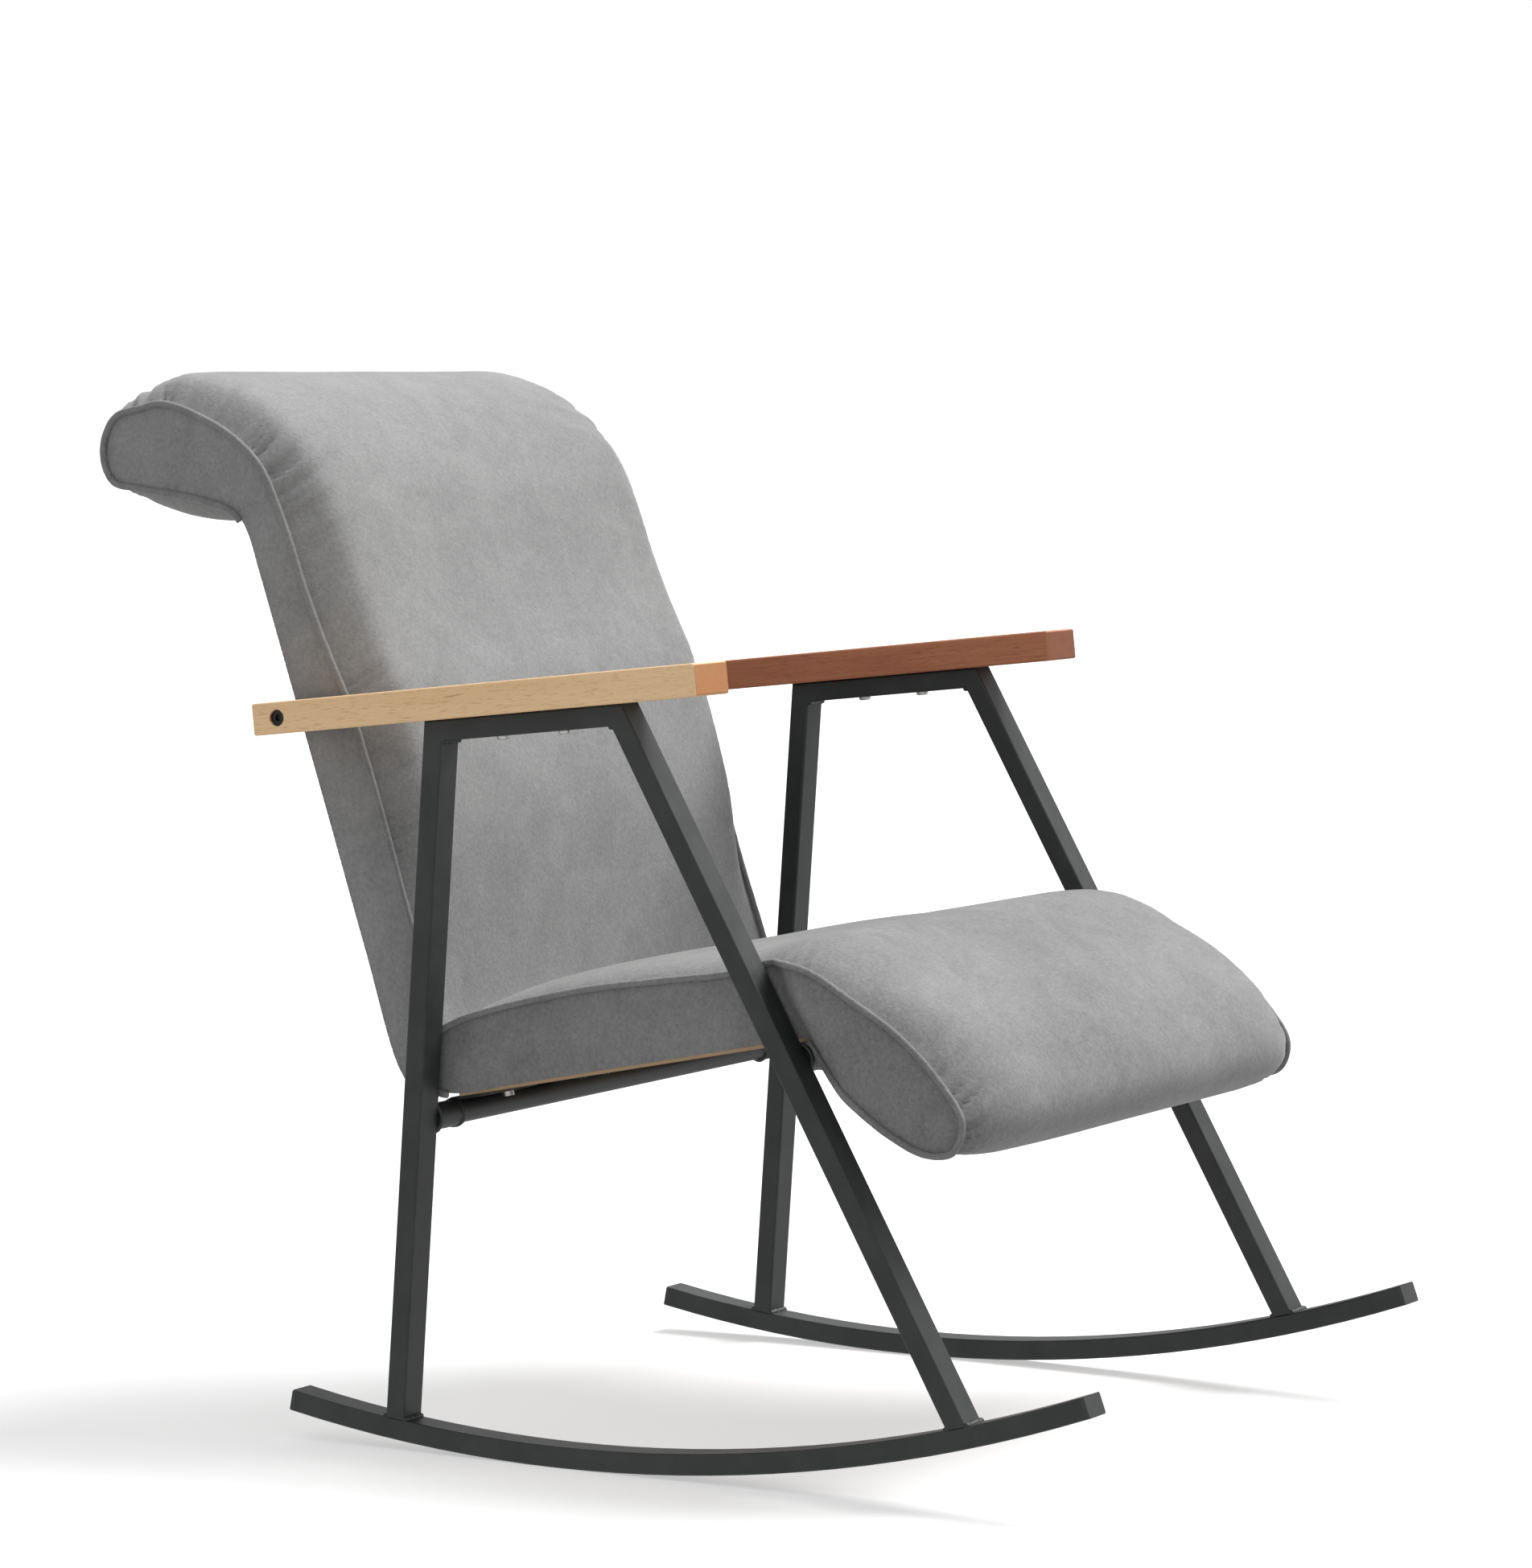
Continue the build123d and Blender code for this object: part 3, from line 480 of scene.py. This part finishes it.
def crease(look, s, side):  # narrow folds that run away from the seam
    main = fold(look["gatherLength"], s, side * 5.3, look["half"])
    minor = fold(look["gatherLength"] * gatherSet["minorLength"], s, side * 3.1, 7.7)
    patch = noise.noise(Vector((s / gatherSet["patch"], side * 2.2, 1.3)))
    depth = max(0.0, gatherSet["even"] + gatherSet["uneven"] * patch)
    return (main + minor * gatherSet["minor"]) * depth


def stuffedSurface(look, ring, step):
    full = 2 * look["half"]
    outward = [outwardOf(ring, i) for i in range(len(ring))]
    widths = [halfAt(look, p.x, p.y) - look["half"] for p in ring]
    strength = [look["gather"] * min(1.0, gatherSet["least"] + bendOf(ring, i) * gatherSet["perBend"])
                * min(1.0, p.z * gatherSet["perShare"]) for i, p in enumerate(ring)]

    def surface(i, d):  # the point at distance d from the left seam
        edge = min(d, full - d)
        side = 1 if d < look["half"] else -1
        share = ring[i].z
        crown = look["crown"] * share
        reach = edge / gatherSet["grooveReach"]
        lift = crown * edgeRise(look, edge)
        lift -= look["groove"] * reach * math.exp(1 - reach) * min(1.0, share + 0.2)
        bed = math.exp(-edge / look["gatherReach"]) * (1 - math.exp(-edge / gatherSet["start"]))
        sunk = strength[i] * crease(look, i * step + edge * gatherSet["slant"], side) * bed
        slope = crown * (edgeRise(look, edge + 1) - edgeRise(look, edge - 1)) / 2
        lift -= sunk / math.hypot(1, slope)
        x = look["half"] - d - side * sunk * slope / math.hypot(1, slope)
        broad = noise.noise(Vector((x / 130, ring[i].x / 110, ring[i].y / 110 + look["half"])))
        lift += look["sag"] * broad * smoothStep(edge / 60) * min(1.0, share)
        spot = ring[i].xy + outward[i] * lift
        return sidePoint(x + widths[i] * x / look["half"], spot.x, spot.y)

    return surface


def makeCushion(name, look, place, material, replaced):
    ring, step = smoothLoop([Vector((*place(a, b), share)) for a, b, share in look["outline"]], look["step"])
    surface = stuffedSurface(look, ring, step)
    bm = bmesh.new()
    row = [bm.verts.new(surface(i, 0)) for i in range(len(ring))]
    edges = [bm.edges.new((row[i - 1], row[i])) for i in range(len(row))]
    first = row
    for d in crossStations(look["half"])[1:]:  # push the outline across the chair, station by station
        row, edges = nextRow(bm, row, edges)
        for i, v in enumerate(row):
            v.co = surface(i, d)
    makePanel(bm, first, 1, look)
    makePanel(bm, row, -1, look)
    bmesh.ops.recalc_face_normals(bm, faces=bm.faces)
    piece = finishedPiece(name, bm, material)
    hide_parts(replaced)
    return piece, ring


def nextRow(bm, row, edges):
    made = bmesh.ops.extrude_edge_only(bm, edges=edges)["geom"]
    fresh = {g for g in made if isinstance(g, bmesh.types.BMVert)}
    copies = {e.other_vert(v): v for v in fresh for e in v.link_edges}
    between = [g for g in made if isinstance(g, bmesh.types.BMEdge) and fresh.issuperset(g.verts)]
    return [copies[v] for v in row], between


panelSet = {"reach": 26.0, "grid": 9.0, "gridStart": 5.0, "dip": 1.0, "dipReach": 3.0}


def makePanel(bm, end, side, look):  # the flat side panel inside the piping, slightly stuffed
    rim = KDTree(len(end))
    for i, v in enumerate(end):
        bm.edges.get((v, end[i - 1])).smooth = False  # a crisp seam
        rim.insert(v.co, i)
    rim.balance()
    inner = bmesh.ops.triangulate(bm, faces=[bm.faces.new(end)])["faces"]
    geom = inner + [e for f in inner for e in f.edges] + [v for f in inner for v in f.verts]
    for axis in (1, 2):
        at = min(v.co[axis] for v in end) + panelSet["gridStart"] * mm
        top = max(v.co[axis] for v in end)
        way = Vector((0, axis == 1, axis == 2))
        while at < top:
            geom = list(dict.fromkeys(geom))
            geom = bmesh.ops.bisect_plane(bm, geom=geom, dist=1e-6, plane_co=way * at, plane_no=way)["geom"]
            at += panelSet["grid"] * mm
    seam = set(end)
    for v in (g for g in geom if isinstance(g, bmesh.types.BMVert)):
        if v not in seam:
            forward, up = (floorLineY - v.co.y) / mm, v.co.z / mm
            gap = rim.find(v.co)[2] / mm
            swell = look["puff"] * smoothStep(gap / panelSet["reach"]) * (0.8 + 0.5 * noise.noise(v.co * 14))
            dip = panelSet["dip"] * math.exp(-gap / panelSet["dipReach"]) * (1 - math.exp(-gap))
            v.co.x = side * (halfAt(look, forward, up) + swell - dip) * mm


def finishedPiece(name, bm, material):
    mesh = bpy.data.meshes.new(name)
    bm.to_mesh(mesh)
    bm.free()
    for polygon in mesh.polygons:
        polygon.use_smooth = True
    piece = bpy.data.objects.new(name, mesh)
    bpy.context.scene.collection.objects.link(piece)
    mesh.materials.append(material)
    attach(piece, "root")
    return piece


def tube(points, swells, radius, closed):
    curve = bpy.data.curves.new("tube", "CURVE")
    curve.dimensions = "3D"
    curve.bevel_depth = radius * mm
    curve.bevel_resolution = 3
    curve.use_fill_caps = not closed
    line = curve.splines.new("POLY")
    line.points.add(len(points) - 1)
    line.use_cyclic_u = closed
    for spot, place, swell in zip(line.points, points, swells):
        spot.co = (*place, 1)
        spot.radius = swell
    holder = bpy.data.objects.new("tube", curve)
    mesh = bpy.data.meshes.new_from_object(holder)
    bm = bmesh.new()
    bm.from_mesh(mesh)
    bpy.data.objects.remove(holder)
    bpy.data.curves.remove(curve)
    bpy.data.meshes.remove(mesh)
    bmesh.ops.remove_doubles(bm, verts=bm.verts, dist=1e-6)
    bmesh.ops.recalc_face_normals(bm, faces=bm.faces)
    return bm


pipingSet = {"radius": 2.6, "above": 1.3, "beside": 1.6, "wander": 0.45, "swell": 0.07}


def makePiping(name, look, ring, side, shown, replaced):
    kept = [i for i, p in enumerate(ring) if shown(p)]
    gap = next(k for k in range(len(kept)) if kept[k] - kept[k - 1] > 1)
    points, swells = [], []
    for i in kept[gap:] + kept[:gap]:
        s = i * look["step"]
        wander = noise.noise(Vector((s / 9, side * 2.0, 3.0))) * pipingSet["wander"]
        spot = ring[i].xy + outwardOf(ring, i) * pipingSet["above"]
        half = halfAt(look, ring[i].x, ring[i].y) + pipingSet["beside"] + wander
        points.append(sidePoint(side * half, spot.x, spot.y + wander * 0.6))
        swells.append(1 + pipingSet["swell"] * noise.noise(Vector((s / 5, side, 9.0))))
    piece = finishedPiece(name, tube(points, swells, pipingSet["radius"], False), pipingVelvetPaintedShade)
    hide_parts(replaced)


seatCushion, seatRing = makeCushion(
    "seatCushion", seatSet, seatSide, seatVelvetPaintedShade, "seat_cushion")
print("seat cushion made", len(seatCushion.data.polygons))
backCushion, backRing = makeCushion(
    "backCushion", backSet, backSide, backVelvet, "back_cushion")
print("back cushion made", len(backCushion.data.polygons))
for word, side in sides.items():
    makePiping(word + "SeatPiping", seatSet, seatRing, side, pipedSeat, word + "_seat_piping")
    makePiping(word + "BackPiping", backSet, backRing, side, pipedBack, word + "_back_piping")
print("piping made")

coverSet = {"low": 306.0, "high": 742.0, "half": 257.0, "puff": 2.0, "edge": 14.0, "base": 0.5,
            "ripple": 0.5, "thick": 0.6}


def makeRearCover():
    bm = bmesh.new()
    bmesh.ops.create_grid(bm, x_segments=72, y_segments=60, size=1.0)
    for v in bm.verts:
        x = v.co.x * coverSet["half"]
        up = coverSet["low"] + (v.co.y + 1) / 2 * (coverSet["high"] - coverSet["low"])
        gap = min(coverSet["half"] - abs(x), up - coverSet["low"], coverSet["high"] - up)
        swell = coverSet["puff"] * smoothStep(gap / coverSet["edge"])
        ripple = coverSet["ripple"] * noise.noise(Vector((x / 60, up / 60, 4))) * smoothStep(gap / 40)
        v.co = sidePoint(x, *backSide(up, coverSet["base"] - swell - ripple))
    bmesh.ops.solidify(bm, geom=bm.faces[:], thickness=coverSet["thick"] * mm)
    bmesh.ops.recalc_face_normals(bm, faces=bm.faces)
    piece = finishedPiece("rearCover", bm, backVelvet)
    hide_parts("back_rear_cover")


makeRearCover()
print("rear cover made")

beadSet = {
    "radius": 2.6, "inner": 274.6, "outer": 299.4, "steps": 12, "wave": 0.35,
    "ringRadius": 2.1, "ringSteps": 36, "rings": ((273.0, 10.9), (240.0, 9.6)),  # x, radius of the ring
}


def onRunner(edge):  # where a leg's edge line meets the top of the runner
    up = 30.0
    for _ in range(12):
        up = frameSet["runnerCentre"] - math.sqrt(frameSet["runnerTop"] ** 2 - onLeg(edge, up) ** 2)
    return onLeg(edge, up), up


def underRail(edge):  # where a leg's edge line meets the underside of the rail
    up = frameSet["railUnder"]
    for _ in range(12):
        up = frameSet["railUnder"] + onLeg(edge, up) * math.tan(math.radians(frameSet["railSlope"]))
    return onLeg(edge, up), up


def addBead(whole, points, radius, closed):
    swells = [1 + beadSet["wave"] * noise.noise(spot * 260) for spot in points]
    bead = tube(points, swells, radius, closed)
    mesh = bpy.data.meshes.new("bead")
    bead.to_mesh(mesh)
    bead.free()
    whole.from_mesh(mesh)
    bpy.data.meshes.remove(mesh)


def makeWelds(word, side):
    corners = [onRunner(edge) for edge in frameSet["legs"]] + [underRail("rearFront"), underRail("frontBack")]
    width = beadSet["outer"] - beadSet["inner"]
    across = [beadSet["inner"] + width * j / beadSet["steps"] for j in range(beadSet["steps"] + 1)]
    whole = bmesh.new()
    for forward, up in corners:
        addBead(whole, [sidePoint(side * x, forward, up) for x in across], beadSet["radius"], False)
    for low, high in (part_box("rear_cross_tube"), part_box("front_cross_tube")):
        middle = (low + high) / 2
        for x, reach in beadSet["rings"]:
            spots = []
            for j in range(beadSet["ringSteps"]):
                angle = math.tau * j / beadSet["ringSteps"]
                spots.append(Vector((side * x * mm, middle.y + math.cos(angle) * reach * mm,
                                     middle.z + math.sin(angle) * reach * mm)))
            addBead(whole, spots, beadSet["ringRadius"], True)
    finishedPiece(word + "Welds", whole, frameCoat)


for word, side in sides.items():
    makeWelds(word, side)
print("welds made")

studioSet = {
    "floor": rgb(0.50, 0.50, 0.50), "floorDeep": rgb(0.48, 0.48, 0.48), "floorGlow": 0.46,
    "fill": 0.75, "backdrop": 1.0, "sunFrom": (0.56, -0.34, 1.04), "sun": 4.6, "sunSpread": 34.0,
    "camera": (-3.9854, -2.2666, 0.8411), "aim": (0.8681, 0.4908, -0.0739), "lens": 132.34,
}


def makeFloor():
    bm = bmesh.new()
    bmesh.ops.create_grid(bm, x_segments=2, y_segments=2, size=30)
    mesh = bpy.data.meshes.new("floor")
    bm.to_mesh(mesh)
    bm.free()
    floor = bpy.data.objects.new("floor", mesh)
    bpy.context.scene.collection.objects.link(floor)
    finish = Finish("floorPaint")
    grain = finish.cloud(finish.place(), 3.0)
    mesh.materials.append(finish.set(
        Base_Color=finish.mixed(grain, studioSet["floor"], studioSet["floorDeep"]), Roughness=0.9,
        Emission_Color=rgb(1, 1, 1), Emission_Strength=studioSet["floorGlow"]))
    floor.visible_diffuse = False  # its bounce would flatten the shading under the chair
    floor.visible_glossy = False


def makeSun():
    lamp = bpy.data.lights.new("sun", "SUN")
    lamp.energy = studioSet["sun"]
    lamp.angle = math.radians(studioSet["sunSpread"])
    holder = bpy.data.objects.new("sun", lamp)
    holder.rotation_euler = Vector(studioSet["sunFrom"]).to_track_quat("Z", "Y").to_euler()
    bpy.context.scene.collection.objects.link(holder)


def makeWorld():  # the backdrop shows white, and lights the chair more gently
    world = bpy.data.worlds.new("studio")
    world.use_nodes = True
    tree = world.node_tree
    fill = tree.nodes["Background"]
    fill.inputs["Strength"].default_value = studioSet["fill"]
    fill.inputs["Color"].default_value = rgb(1, 1, 1)
    shown = tree.nodes.new("ShaderNodeBackground")
    shown.inputs["Strength"].default_value = studioSet["backdrop"]
    shown.inputs["Color"].default_value = rgb(1, 1, 1)
    ray = tree.nodes.new("ShaderNodeLightPath")
    pick = tree.nodes.new("ShaderNodeMixShader")
    tree.links.new(ray.outputs["Is Camera Ray"], pick.inputs[0])
    tree.links.new(fill.outputs[0], pick.inputs[1])
    tree.links.new(shown.outputs[0], pick.inputs[2])
    tree.links.new(pick.outputs[0], tree.nodes["World Output"].inputs["Surface"])
    bpy.context.scene.world = world


def makeCamera():
    lens = bpy.data.cameras.new("camera")
    lens.sensor_width = 36.0
    lens.lens = studioSet["lens"]
    lens.clip_end = 100.0
    camera = bpy.data.objects.new("camera", lens)
    camera.location = Vector(studioSet["camera"]) + Vector((0, floorLineY, 0))
    camera.rotation_euler = Vector(studioSet["aim"]).to_track_quat("-Z", "Y").to_euler()
    bpy.context.scene.collection.objects.link(camera)
    bpy.context.scene.camera = camera


makeFloor()
makeSun()
makeWorld()
makeCamera()
bpy.context.scene.view_settings.view_transform = "Standard"
print("studio made")
